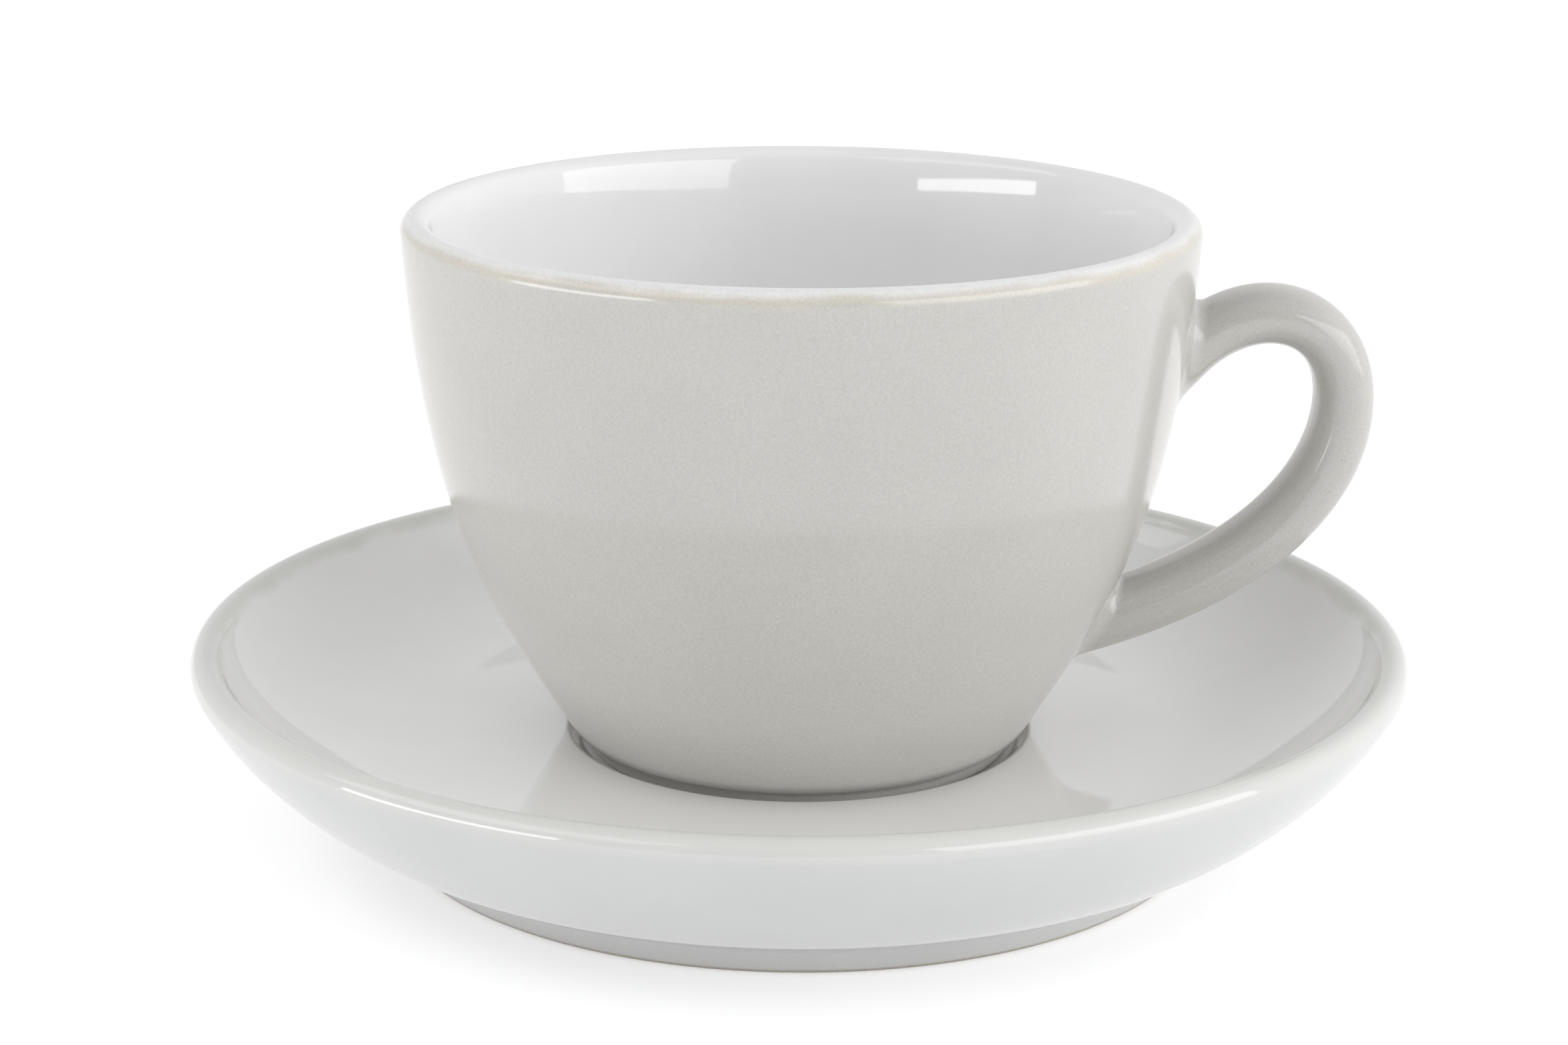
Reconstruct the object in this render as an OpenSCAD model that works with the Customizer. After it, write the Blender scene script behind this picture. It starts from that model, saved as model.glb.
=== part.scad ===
// A cappuccino cup standing on its saucer, in millimetres.
// The origin is the middle of the saucer's foot ring on the table.
// +Z points up and the handle points along +X.

/* [Saucer] */
// Outside diameter of the rim
saucer_d = 150; // [142:1:165]
// Height of the rim above the table
saucer_h = 25.3; // [22:0.1:30]
// Thickness of the rounded rim
saucer_rim_t = 3.8; // [3:0.1:5]
// Diameter of the flat floor inside
saucer_floor_d = 92; // [80:1:100]
// Height of the flat floor inside above the table
saucer_floor_h = 12.6; // [9:0.1:14]
// Thickness of the floor above the hollow of the foot
saucer_floor_t = 5.8; // [4:0.1:7]
// Outside diameter of the foot ring on the table
saucer_foot_d = 101; // [92:1:108]
// Width of the foot ring on the table
saucer_foot_w = 4; // [3:0.1:6]
// Height of the foot ring
saucer_foot_h = 3.1; // [2:0.1:4]

/* [Well] */
// Depth of the well that holds the cup
well_depth = 2; // [0.4:0.1:3]
// Room in the well round the cup's foot ring
well_play = 0.9; // [0.6:0.1:2.5]
// Width of the well's sloping edge
well_edge_w = 1.7; // [0.5:0.1:3]

/* [Cup] */
// Outside diameter at the lip
cup_d = 96.3; // [90:0.1:104]
// Height from the foot ring to the lip
cup_h = 67.1; // [63:0.1:76]
// Thickness of the rounded lip
cup_lip_t = 3.9; // [2.6:0.1:4.8]
// Thickness of the wall low down
cup_wall_t = 5.8; // [3.6:0.1:7]
// Thickness of the floor
cup_floor_t = 4.6; // [4:0.1:7]
// Diameter where the wall turns under to the foot
cup_shoulder_d = 58.2; // [54:0.1:62]
// Height of that turn above the foot
cup_shoulder_h = 3.95; // [3:0.05:6]
// Radius of that turn
cup_shoulder_r = 4.5; // [2:0.1:5]
// Outside diameter of the foot ring
cup_foot_d = 52.4; // [44:0.1:53]
// Width of the foot ring
cup_foot_w = 3.2; // [2:0.1:5]

/* [Handle] */
// How far the handle stands out past the lip
handle_reach = 21.65; // [18:0.05:28]
// Width across the strap
handle_w = 10.8; // [9:0.1:14]
// Thickness of the strap on the upper arm
handle_t = 7; // [6:0.1:9]
// Thickness of the strap on the lower arm
handle_low_t = 7.4; // [6.5:0.1:10]
// Height of the upper root above the cup's foot
handle_root_h = 49.7; // [47:0.1:53]
// Height of the bow, where the handle stands out furthest
handle_bow_h = 44; // [42:0.1:49]
// Height of the lower root above the cup's foot
handle_low_root_h = 15.7; // [14:0.1:21]

/* [Slip joints] */
// Thickness of the slip between the wall and the handle
slip_t = 1.6; // [0.8:0.1:2.4]
// How far the slip swells past the strap at the wall
slip_swell = 2; // [1:0.1:3]
// Distance from the wall at which the swell has run out
slip_run = 4.5; // [2.5:0.1:6]

/* [Hidden] */

$fn = 128;

saucer_colour = [0.83, 0.83, 0.81];
cup_colour = [0.84, 0.82, 0.79];
slip_colour = [0.80, 0.79, 0.76];

// Number of steps along a curve, round an edge and round the strap
curve_steps = 24;
round_steps = 10;
strap_sides = 28;
sink_steps = 8;

// Soft edges of the two foot rings
saucer_foot_edge = 0.6;
cup_foot_edge = 0.5;

// Slopes of the saucer, in degrees: foot ring from upright, underside from level at the
// foot ring, underside and inside from upright at the rim
foot_lean = 10;
underside_slope = 18.5;
underside_lean = 18;
inside_lean = 25;
// Lengths of the tangents that bend the saucer's underside, shares of its run and of its rise
underside_shares = [0.757, 0.06];
// Lengths of the tangents that bend the saucer's inside, shares of its run and of its rise
inside_shares = [0.5, 0.55];
// Run of the slope inside the saucer's foot ring, as a share of the hollow's height
hollow_slope_share = 0.5;

// Slopes of the cup's wall, in degrees: from level at the shoulder, from upright at the lip
wall_slope = 59.7;
wall_lean = 3.55;
// Lengths of the tangents that bend the wall, shares of its rise
wall_shares = [0.241, 0.625];
// Place along the wall, from shoulder to lip, where the inside turns towards the floor
floor_turn_share = 0.17;
// Lengths of the tangents that bend that turn, shares of the inside's radius there
floor_shares = [0.28, 0.48];

// Slopes of the handle's centre line at its upper and lower roots, from level, in degrees
root_slope = 47;
low_root_slope = 17.4;
// Lengths of the tangents at the upper root and above the bow, shares of the upper arm's run
upper_arm_shares = [0.59, 0.58];
// Lengths of the tangents below the bow and at the lower root, shares of the lower arm's run
lower_arm_shares = [0.29, 0.81];
// Part of the handle's length over which the strap grows to the lower arm's thickness
strap_growth_shares = [0.33, 0.66];
// How far the strap is carried into the bowl before it is trimmed, as a share of its reach
root_sink_share = 0.7;
// Roundness of the strap's section: 2 is an ellipse, more is squarer
strap_squareness = 2.4;

function unit(v) = v / norm(v);
function left(v) = [-v[1], v[0]];
function heading(angle) = [cos(angle), sin(angle)];
function mix(a, b, t) = a + (b - a) * t;
function ease(t) = t * t * (3 - 2 * t);
function ramp(t, from, to) = ease(min(1, max(0, (t - from) / (to - from))));

// Point and direction on a cubic curve with four control points
function bezier(p, t) =
    pow(1 - t, 3) * p[0] + 3 * pow(1 - t, 2) * t * p[1] + 3 * (1 - t) * t * t * p[2] + pow(t, 3) * p[3];
function bezier_heading(p, t) =
    unit(pow(1 - t, 2) * (p[1] - p[0]) + 2 * (1 - t) * t * (p[2] - p[1]) + t * t * (p[3] - p[2]));
function bezier_points(p) = [for (i = [0:curve_steps]) bezier(p, i / curve_steps)];
function arc_points(middle, r, from, to) =
    [for (i = [0:round_steps]) middle + r * heading(mix(from, to, i / round_steps))];

// The saucer's section, from its hollow round the foot and rim to the well
saucer_foot_r = saucer_foot_d / 2;
hollow_h = saucer_floor_h - saucer_floor_t;
hollow_slope_w = hollow_h * hollow_slope_share;
foot_inner_r = saucer_foot_r - saucer_foot_w;
crease = [saucer_foot_r + saucer_foot_h * tan(foot_lean), saucer_foot_h];
rim_r = saucer_rim_t / 2;
rim_middle = [saucer_d / 2 - rim_r, saucer_h - rim_r];
underside_end = rim_middle + rim_r * heading(-underside_lean);
underside_reach = underside_end - crease;
underside_curve = [
    crease,
    crease + underside_reach[0] * underside_shares[0] * heading(underside_slope),
    underside_end - underside_reach[1] * underside_shares[1] * heading(90 - underside_lean),
    underside_end
];
inside_start = [saucer_floor_d / 2, saucer_floor_h];
inside_end = rim_middle + rim_r * heading(180 - inside_lean);
inside_reach = inside_end - inside_start;
inside_curve = [
    inside_end,
    inside_end - inside_reach[1] * inside_shares[1] * heading(90 - inside_lean),
    inside_start + [inside_reach[0] * inside_shares[0], 0],
    inside_start
];
cup_foot_r = cup_foot_d / 2;
well_r = cup_foot_r + well_play;
cup_seat_h = saucer_floor_h - well_depth;
saucer_section = concat(
    [
        [0, hollow_h],
        [foot_inner_r - hollow_slope_w, hollow_h],
        [foot_inner_r, saucer_foot_edge],
        [foot_inner_r + saucer_foot_edge, 0],
        [saucer_foot_r - saucer_foot_edge, 0],
        [saucer_foot_r, saucer_foot_edge]
    ],
    bezier_points(underside_curve),
    arc_points(rim_middle, rim_r, -underside_lean, 180 - inside_lean),
    bezier_points(inside_curve),
    [
        [well_r + well_edge_w, saucer_floor_h],
        [well_r, cup_seat_h],
        [0, cup_seat_h]
    ]
);

// The cup's wall, as a curve from the shoulder up to the lip
lip_r = cup_lip_t / 2;
wall_foot = [cup_shoulder_d / 2, cup_shoulder_h];
lip_middle = [cup_d / 2 - lip_r, cup_h - lip_r];
wall_top = lip_middle + lip_r * heading(-wall_lean);
wall_rise = wall_top[1] - wall_foot[1];
wall_curve = [
    wall_foot,
    wall_foot + wall_rise * wall_shares[0] * heading(wall_slope),
    wall_top - wall_rise * wall_shares[1] * heading(90 - wall_lean),
    wall_top
];
wall_radii = [for (p = bezier_points(wall_curve)) [p[1], p[0]]];
function wall_r(h) = lookup(h, wall_radii);
function wall_depth_point(t, depth) = bezier(wall_curve, t) + depth * left(bezier_heading(wall_curve, t));

// The cup's section, from its underside round the foot, wall and lip to the floor
shoulder_middle = wall_foot + cup_shoulder_r * left(heading(wall_slope));
underside_h = shoulder_middle[1] - cup_shoulder_r;
// The foot ring's wall runs up to the shoulder, also where it stands further out than its middle
foot_overhang = max(0, cup_foot_r - shoulder_middle[0]);
shoulder_start = -acos(foot_overhang / cup_shoulder_r);
floor_h = underside_h + cup_floor_t;
function wall_t(t) = mix(cup_wall_t, cup_lip_t, (t - floor_turn_share) / (1 - floor_turn_share));
function inside_point(t) = wall_depth_point(t, wall_t(t));
inside_turn = inside_point(floor_turn_share);
floor_curve = [
    inside_turn,
    inside_turn - inside_turn[0] * floor_shares[0] * bezier_heading(wall_curve, floor_turn_share),
    [inside_turn[0] * floor_shares[1], floor_h],
    [0, floor_h]
];
cup_section = concat(
    [
        [0, underside_h],
        [cup_foot_r - cup_foot_w - cup_foot_edge, underside_h],
        [cup_foot_r - cup_foot_w, cup_foot_edge],
        [cup_foot_r - cup_foot_w + cup_foot_edge, 0],
        [cup_foot_r - cup_foot_edge, 0],
        [cup_foot_r, cup_foot_edge],
        [cup_foot_r, underside_h]
    ],
    arc_points(shoulder_middle, cup_shoulder_r, shoulder_start, wall_slope - 90),
    [for (i = [1:curve_steps]) bezier(wall_curve, i / curve_steps)],
    [for (i = [1:round_steps])
        lip_middle + lip_r * heading(mix(-wall_lean, 180 - wall_lean, i / round_steps))],
    [for (i = [curve_steps - 1:-1:1]) inside_point(mix(floor_turn_share, 1, i / curve_steps))],
    bezier_points(floor_curve)
);

// The handle's centre line in the plane of its strap: the upper arm, then the lower arm
bow = [cup_d / 2 + handle_reach - handle_t / 2, handle_bow_h];
root = [wall_r(handle_root_h), handle_root_h];
low_root = [wall_r(handle_low_root_h), handle_low_root_h];
upper_run = bow[0] - root[0];
lower_run = bow[0] - low_root[0];
upper_arm = [
    root,
    root + upper_run * upper_arm_shares[0] * heading(root_slope),
    bow + [0, upper_run * upper_arm_shares[1]],
    bow
];
lower_arm = [
    bow,
    bow - [0, lower_run * lower_arm_shares[0]],
    low_root + lower_run * lower_arm_shares[1] * heading(low_root_slope),
    low_root
];
root_sink = handle_reach * root_sink_share;

// Each step along the strap: its middle, its heading and the share of the length behind it
strap_path = concat(
    [for (i = [sink_steps:-1:1])
        [root - root_sink * i / sink_steps * heading(root_slope), heading(root_slope), 0]],
    [for (i = [0:curve_steps]) let (t = i / curve_steps)
        [bezier(upper_arm, t), bezier_heading(upper_arm, t), t / 2]],
    [for (i = [1:curve_steps]) let (t = i / curve_steps)
        [bezier(lower_arm, t), bezier_heading(lower_arm, t), (1 + t) / 2]],
    [for (i = [1:sink_steps])
        [low_root - root_sink * i / sink_steps * heading(low_root_slope), -heading(low_root_slope), 1]]
);
strap_end = len(strap_path) - 1;
strap_bow = sink_steps + curve_steps;

// How far the surface swells out at a distance from the wall
function swell(gap) = slip_swell * pow(max(0, 1 - max(-slip_t / 2, gap) / slip_run), 2);
function squared(x) = sign(x) * pow(abs(x), 2 / strap_squareness);

// A point on the strap's surface, at a step of its path and an angle round its section
function strap_point(step, angle) =
    let (
        middle = strap_path[step][0],
        up = left(strap_path[step][1]),
        growth = ramp(strap_path[step][2], strap_growth_shares[0], strap_growth_shares[1]),
        thickness = mix(handle_t, handle_low_t, growth),
        rise = thickness / 2 * squared(cos(angle)),
        side = handle_w / 2 * squared(sin(angle)),
        plain = [middle[0] + up[0] * rise, side, middle[1] + up[1] * rise],
        grow = swell(norm([plain[0], plain[1]]) - wall_r(plain[2]))
    )
    plain + grow * [up[0] * cos(angle), sin(angle), up[1] * cos(angle)];

// The strap between two steps of its path, closed at both ends
module strap(first, last) {
    points = [for (i = [first:last]) for (j = [0:strap_sides - 1]) strap_point(i, 360 * j / strap_sides)];
    start_cap = [for (j = [0:strap_sides - 1]) j];
    end_cap = [for (j = [strap_sides - 1:-1:0]) (last - first) * strap_sides + j];
    sides = [
        for (i = [0:last - first - 1])
            for (j = [0:strap_sides - 1])
                let (
                    a = i * strap_sides + j,
                    b = i * strap_sides + (j + 1) % strap_sides
                )
                each [[a, a + strap_sides, b + strap_sides], [a, b + strap_sides, b]]
    ];
    polyhedron(points = points, faces = concat(sides, [start_cap, end_cap]));
}

// All that lies inside the cup's wall, grown outwards
module bowl_envelope(grow) {
    rotate_extrude()
        polygon(concat(
            [[0, wall_foot[1]]],
            [for (i = [0:curve_steps]) wall_depth_point(i / curve_steps, -grow)],
            [[0, wall_top[1]]]
        ));
}

// The slip between the wall and a stretch of the strap
module slip_band(first, last) {
    translate([0, 0, cup_seat_h])
        difference() {
            intersection() {
                strap(first, last);
                bowl_envelope(slip_t);
            }
            bowl_envelope(0);
        }
}

module saucer() {
    color(saucer_colour)
        rotate_extrude()
            polygon(saucer_section);
}

module cup_body() {
    color(cup_colour)
        translate([0, 0, cup_seat_h])
            rotate_extrude()
                polygon(cup_section);
}

module handle() {
    color(cup_colour)
        translate([0, 0, cup_seat_h])
            difference() {
                strap(0, strap_end);
                bowl_envelope(slip_t);
            }
}

module upper_slip_joint() {
    color(slip_colour)
        slip_band(0, strap_bow);
}

module lower_slip_joint() {
    color(slip_colour)
        slip_band(strap_bow, strap_end);
}

saucer();
cup_body();
handle();
upper_slip_joint();
lower_slip_joint();
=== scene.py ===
import math

import bpy
import numpy as np
from mathutils import Matrix, Vector


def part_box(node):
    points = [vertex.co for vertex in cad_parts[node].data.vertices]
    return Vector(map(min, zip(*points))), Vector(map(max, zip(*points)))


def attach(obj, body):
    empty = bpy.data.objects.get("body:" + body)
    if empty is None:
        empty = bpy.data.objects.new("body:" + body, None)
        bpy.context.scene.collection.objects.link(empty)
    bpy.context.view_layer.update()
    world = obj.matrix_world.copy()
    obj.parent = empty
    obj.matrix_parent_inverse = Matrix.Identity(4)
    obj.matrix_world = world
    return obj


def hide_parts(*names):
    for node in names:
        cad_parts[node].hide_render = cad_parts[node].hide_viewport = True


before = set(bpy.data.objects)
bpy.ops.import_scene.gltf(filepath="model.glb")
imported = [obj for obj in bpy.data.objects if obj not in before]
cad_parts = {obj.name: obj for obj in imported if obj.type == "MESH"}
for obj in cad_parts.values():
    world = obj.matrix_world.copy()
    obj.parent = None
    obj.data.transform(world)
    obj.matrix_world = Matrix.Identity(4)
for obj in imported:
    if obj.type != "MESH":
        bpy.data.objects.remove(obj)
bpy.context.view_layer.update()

bl_info = {
    "name": "Cappuccino cup and saucer",
    "version": (1, 0, 0),
    "blender": (4, 5, 0),
    "location": "3D View > Sidebar > Ware",
    "description": "Builds a glazed cup with a strap handle on its saucer, in a plain studio",
    "category": "Add Mesh",
}

MM = 0.001
PHOTO_WIDTH = 2352
SENSOR_WIDTH = 36
WINDOWS = ("right_window", "low_window", "left_window", "high_window")

# Words that describe several of the stage's properties
BRIGHTNESS = "Brightness, where white paper in plain light has 1"
PLACE = "Its direction, anticlockwise from the handle, and its height above the table"
SPAN = "Its width and height, seen from the ware"

# The heading straight up
UPRIGHT = math.pi / 2

# How closely the steps inside the cup crowd towards its lip
LIP_CROWDING = 1.6

# The step of a curve towards which the rounded corner before it runs
TANGENT_STEP = 2

# Distance within which the points of a turned piece are one
MERGE_DISTANCE = 1e-6

# Samples along the cup's wall, each arm and the section of the strap, and the strap's way into the wall
WALL_SAMPLES = 800
ARM_SAMPLES_PER_STEP = 8
SECTION_SAMPLES = 4001
MEETING_SAMPLES = 1500

# Shares of the strap's length and of its girth over which its slopes are measured
LENGTH_STEP_SHARE = 1 / 2000
GIRTH_STEP_SHARE = 1 / 1000

# The spread that soft noise usually has, and how many finer layers each kind of noise has
NOISE_SPREAD = (0.3, 0.7)
PATCH_DETAIL = 4
GRIT_DETAIL = 3
STREAK_DETAIL = 3
RIPPLE_DETAIL = 2
WAVER_DETAIL = 2
GRAIN_DETAIL = 1
WAVE_DETAIL = 1

# Shares of a glaze line's blur by which it wavers, and of a speck's radius over which it fades
WAVER_SHARE = 0.25
SPECK_FADE_SHARE = 0.5

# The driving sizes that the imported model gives, in millimetres
saucer_low, saucer_high = (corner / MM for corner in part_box("saucer"))
cup_low, cup_high = (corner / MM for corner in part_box("cup_body"))
handle_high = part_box("handle")[1] / MM
cup_d = cup_high.x - cup_low.x


# Properties

def length(name, description, value):
    """A length, given in millimetres."""
    return bpy.props.FloatProperty(
        name=name, description=description, default=value * MM, precision=5, unit="LENGTH")


def angle(name, description, value):
    """An angle, given in degrees."""
    return bpy.props.FloatProperty(
        name=name, description=description, default=math.radians(value), subtype="ANGLE")


def angles(name, description, values):
    """Two angles, given in degrees."""
    return bpy.props.FloatVectorProperty(
        name=name, description=description, default=[math.radians(value) for value in values],
        size=2, unit="ROTATION")


def share(name, description, value):
    """A share of some other size, or another plain number."""
    return bpy.props.FloatProperty(name=name, description=description, default=value)


def shares(name, description, values):
    """Two shares of some other size, or the two ends of a spread."""
    return bpy.props.FloatVectorProperty(name=name, description=description, default=values, size=2)


def count(name, description, value):
    """A number of steps or segments."""
    return bpy.props.IntProperty(name=name, description=description, default=value, min=3)


def colour(name, description, red, green, blue):
    """A colour, given as it shows on a screen, from 0 to 255."""
    return bpy.props.FloatVectorProperty(
        name=name, description=description, default=[linear(c / 255) for c in (red, green, blue)],
        size=3, min=0, max=1, subtype="COLOR")


def linear(value):
    """A screen value as linear light."""
    return value / 12.92 if value <= 0.04045 else ((value + 0.055) / 1.055) ** 2.4


class SaucerSizes(bpy.types.PropertyGroup):
    """Sizes of the saucer's section"""
    d: length("Diameter", "Outside diameter of the rim", saucer_high.x - saucer_low.x)
    h: length("Height", "Height of the rim above the table", saucer_high.z)
    rim_t: length("Rim thickness", "Thickness of the rounded rim", 3.8)
    floor_d: length("Floor diameter", "Diameter of the flat floor inside", 92)
    floor_h: length("Floor height", "Height of the flat floor above the table", 12.6)
    floor_t: length("Floor thickness", "Thickness above the hollow of the foot", 5.8)
    foot_d: length("Foot diameter", "Outside diameter of the foot ring", 101)
    foot_w: length("Foot width", "Width of the foot ring", 4)
    foot_h: length("Foot height", "Height of the foot ring", 3.1)
    foot_edge_r: length("Foot edge", "Radius of the foot ring's edges", 0.8)
    crease_r: length("Crease", "Radius where the foot ring meets the underside", 0.6)
    well_edge_w: length("Well edge", "Width of the well's sloping edge", 1.7)
    well_edge_r: length("Well edge rounding", "Radius of the well's edges", 1.2)
    well_play: length("Well play", "Room in the well round the cup's foot ring", 0.9)
    foot_lean: angle("Foot lean", "Lean of the foot ring from upright", 10)
    underside_slope: angle("Underside slope", "Slope of the underside at the foot ring", 18.5)
    underside_lean: angle("Underside lean", "Lean of the underside from upright at the rim", 18)
    inside_lean: angle("Inside lean", "Lean of the inside from upright at the rim", 25)
    underside_shares: shares("Underside bend", "Tangents of the underside's curve", (0.757, 0.06))
    inside_shares: shares("Inside bend", "Tangents of the inside's curve", (0.5, 0.55))
    hollow_slope_share: share("Hollow slope", "Run of the hollow's side, of its height", 0.5)


class CupSizes(bpy.types.PropertyGroup):
    """Sizes of the cup's section"""
    d: length("Diameter", "Outside diameter at the lip", cup_d)
    h: length("Height", "Height from the foot ring to the lip", cup_high.z - cup_low.z)
    seat_h: length("Seat height", "Height of the cup's seat in the saucer", cup_low.z)
    lip_t: length("Lip thickness", "Thickness of the rounded lip", 3.9)
    flare: length("Lip flare", "How much the inside opens out just below the lip", 0.25)
    flare_h: length("Flare height", "Height over which the inside opens out", 4)
    wall_t: length("Wall thickness", "Thickness of the wall low down", 5.8)
    floor_t: length("Floor thickness", "Thickness of the floor", 4.6)
    shoulder_d: length("Shoulder diameter", "Diameter where the wall turns under", 58.2)
    shoulder_h: length("Shoulder height", "Height of that turn above the foot", 3.95)
    shoulder_r: length("Shoulder radius", "Radius of that turn", 4.5)
    foot_d: length("Foot diameter", "Outside diameter of the foot ring", 52.4)
    foot_w: length("Foot width", "Width of the foot ring", 3.2)
    foot_edge_r: length("Foot edge", "Radius of the foot ring's edges", 0.6)
    wall_slope: angle("Wall slope", "Slope of the wall at the shoulder", 59.7)
    wall_lean: angle("Wall lean", "Lean of the wall from upright at the lip", 3.55)
    wall_shares: shares("Wall bend", "Tangents of the wall's curve", (0.241, 0.625))
    floor_turn_share: share("Floor turn", "Place along the wall where the inside turns", 0.17)
    floor_shares: shares("Floor bend", "Tangents of that turn", (0.28, 0.48))


class HandleSizes(bpy.types.PropertyGroup):
    """Sizes of the strap handle and of the slip that joins it to the bowl"""
    reach: length("Reach", "How far the handle stands out past the lip", handle_high.x - cup_d / 2)
    w: length("Width", "Width across the strap", 10.8)
    t: length("Thickness", "Thickness of the upper arm", 7)
    low_t: length("Lower thickness", "Thickness of the lower arm", 7.4)
    root_h: length("Upper root", "Height of the upper root above the cup's foot", 49.7)
    bow_h: length("Bow height", "Height where the handle stands out furthest", 44)
    low_root_h: length("Lower root", "Height of the lower root above the cup's foot", 15.7)
    slip_t: length("Slip thickness", "Thickness of the slip between wall and handle", 1.6)
    fillet_reach: length("Fillet reach", "How far the slip's fillet runs along wall and strap", 2.1)
    fillet_sink: length("Fillet sink", "How far the slip's edge is bedded in the wall", 0.03)
    root_slope: angle("Upper root slope", "Slope of the upper arm at its root", 47)
    low_root_slope: angle("Lower root slope", "Slope of the lower arm at its root", 17.4)
    upper_arm_shares: shares("Upper arm bend", "Tangents of the upper arm's curve", (0.59, 0.58))
    lower_arm_shares: shares("Lower arm bend", "Tangents of the lower arm's curve", (0.29, 0.81))
    growth_shares: shares("Growth", "Part of the length where the strap thickens", (0.33, 0.66))
    root_sink_share: share("Root sink", "How far the strap runs on into the bowl, of its reach", 0.7)
    squareness: share("Squareness", "Roundness of the section: 2 is an ellipse, more is squarer", 2.4)


class GlazeLooks(bpy.types.PropertyGroup):
    """Colours of the glazes and of the bare clay, and how even they are; the saucer's dish and rim colours
    also carry painted light and painted shade
    """
    ivory: colour("Ivory glaze", "Outside of the cup and its handle", 207, 205, 200)
    cream: colour("Cream edge", "Thin ivory glaze beside the white lip", 218, 213, 202)
    white: colour("White glaze", "Inside of the cup", 244, 244, 244)
    # Dish glaze: the saucer's white glaze painted lighter than it is, as painted light that lifts the dish
    # out of the cup's shade
    dish_with_painted_light: colour("Dish glaze", "Upper side of the saucer", 246, 246, 245)
    # Rim glaze: the saucer's white glaze painted darker over its rim, as painted shade that holds the lit
    # rim down
    rim: colour("Rim glaze", "Thin glaze over the saucer's rim", 222, 222, 219)
    underside: colour("Underside glaze", "Underside of the saucer", 220, 221, 221)
    clay: colour("Bare clay", "Foot rings, wiped before firing", 196, 191, 182)
    speck: colour("Specks", "Iron specks in the glaze", 128, 124, 118)
    lip_band: length("Lip band", "Width of the white band outside the lip", 1.6)
    cream_band: length("Cream band", "Width of the cream edge below it", 1.0)
    # Rim band, rim inside and rim blur: where the painted shade over the saucer's rim lies and how softly
    # it ends
    rim_shade_band: length("Rim band", "Width of the rim's glaze outside the saucer's crest", 3.2)
    rim_shade_inside: length("Rim inside", "Width of the rim's glaze inside the saucer's crest", 2)
    blur: length("Blur", "Width over which one glaze runs into the other at the lip", 1.2)
    rim_shade_blur: length("Rim blur", "Width over which one glaze runs into the other at the rim", 2.5)
    waver_size: length("Waver", "Size of the wavers in that line", 8)
    gloss: shares("Gloss", "Roughness inside the cup and on the saucer, from least to most", (0.04, 0.07))
    satin: shares("Satin", "Roughness outside the cup and on its handle, from least to most", (0.12, 0.18))
    index: share("Index", "Refractive index of the glaze", 1.6)
    clay_roughness: share("Clay roughness", "Roughness of the bare clay", 0.75)
    patch_size: length("Patches", "Size of the soft patches in the glaze", 14)
    patch_depth: share("Patch depth", "How much darker the patches are", 0.035)
    grain_size: length("Grain", "Size of the fine grain in the ivory glaze", 0.3)
    grain_depth: share("Grain depth", "How much darker the grain is", 0.09)
    speck_spacing: length("Speck spacing", "Distance between the places where a speck may lie", 6)
    speck_share: share("Speck share", "Share of those places that have a speck", 0.1)
    speck_r: length("Speck radius", "Radius of the largest specks", 0.3)
    speck_depth: share("Speck depth", "How far a speck covers the glaze", 0.55)
    wave_size: length("Waves", "Size of the slow waves in the glaze", 26)
    wave_h: length("Wave height", "Height of the slow waves", 0.12)
    ripple_size: length("Ripples", "Size of the small ripples in the glaze", 2.4)
    ripple_h: length("Ripple height", "Height of the small ripples", 0.004)
    grit_size: length("Grit", "Size of the grit in the bare clay", 0.4)
    grit_h: length("Grit height", "Height of the grit", 0.05)
    grit_depth: share("Grit depth", "How much darker the grit is", 0.2)
    streak_w: length("Streaks", "Width of the streaks along the strap", 1.1)
    streak_stretch: share("Streak stretch", "Length of the streaks, in widths", 25)
    streak_depth: share("Streak depth", "How much darker the streaks are", 0.05)


class StageLooks(bpy.types.PropertyGroup):
    """The camera's place, as fitted to the photograph, and the light"""
    focal_pixels: bpy.props.FloatProperty(
        name="Focal length", description="In pixels of the photograph", default=4997)
    camera_x: length("Camera across", "Camera's place along X", -0.042)
    camera_y: length("Camera back", "Camera's place along Y", -396.63)
    camera_z: length("Camera height", "Camera's height above the table", 151.11)
    pitch: angle("Pitch", "How far the camera looks down", 15.859)
    yaw: angle("Yaw", "How far the camera turns to its right", -0.271)
    roll: angle("Roll", "How far the camera tips", 0.258)
    floor_size: length("Floor", "Size of the floor", 12000)
    floor: colour("Floor colour", "Colour of the paper on the floor", 240, 240, 240)
    floor_glow: share("Floor glow", "Brightness added where the floor is seen, so that it is white", 0.4)
    right_wall: share("Right wall", BRIGHTNESS, 1.25)
    left_wall: share("Left wall", BRIGHTNESS, 0.7)
    front_wall: share("Front wall", "Brightness of the wall behind the camera", 0.25)
    back_wall: share("Back wall", BRIGHTNESS, 0.85)
    ceiling: share("Ceiling", BRIGHTNESS, 0.52)
    walls_end: angle("Top of the walls", "Angle above the table at which the walls end", 38)
    ceiling_start: angle("Edge of the ceiling", "Angle above the table at which the ceiling begins", 62)
    window_distance: length("Window distance", "How far the windows stand from the ware", 800)
    right_window: angles("Right window", PLACE, (-35, 24))
    right_window_size: angles("Right window's size", SPAN, (60, 18))
    right_window_brightness: share("Right window's brightness", BRIGHTNESS, 2.3)
    low_window: angles("Low window", PLACE, (-35, 9.5))
    low_window_size: angles("Low window's size", SPAN, (60, 11))
    low_window_brightness: share("Low window's brightness", BRIGHTNESS, 1.9)
    left_window: angles("Left window", PLACE, (208, 8))
    left_window_size: angles("Left window's size", SPAN, (44, 12))
    left_window_brightness: share("Left window's brightness", BRIGHTNESS, 5)
    high_window: angles("High window", PLACE, (205, 46))
    high_window_size: angles("High window's size", SPAN, (60, 22))
    high_window_brightness: share("High window's brightness", BRIGHTNESS, 1)


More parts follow.
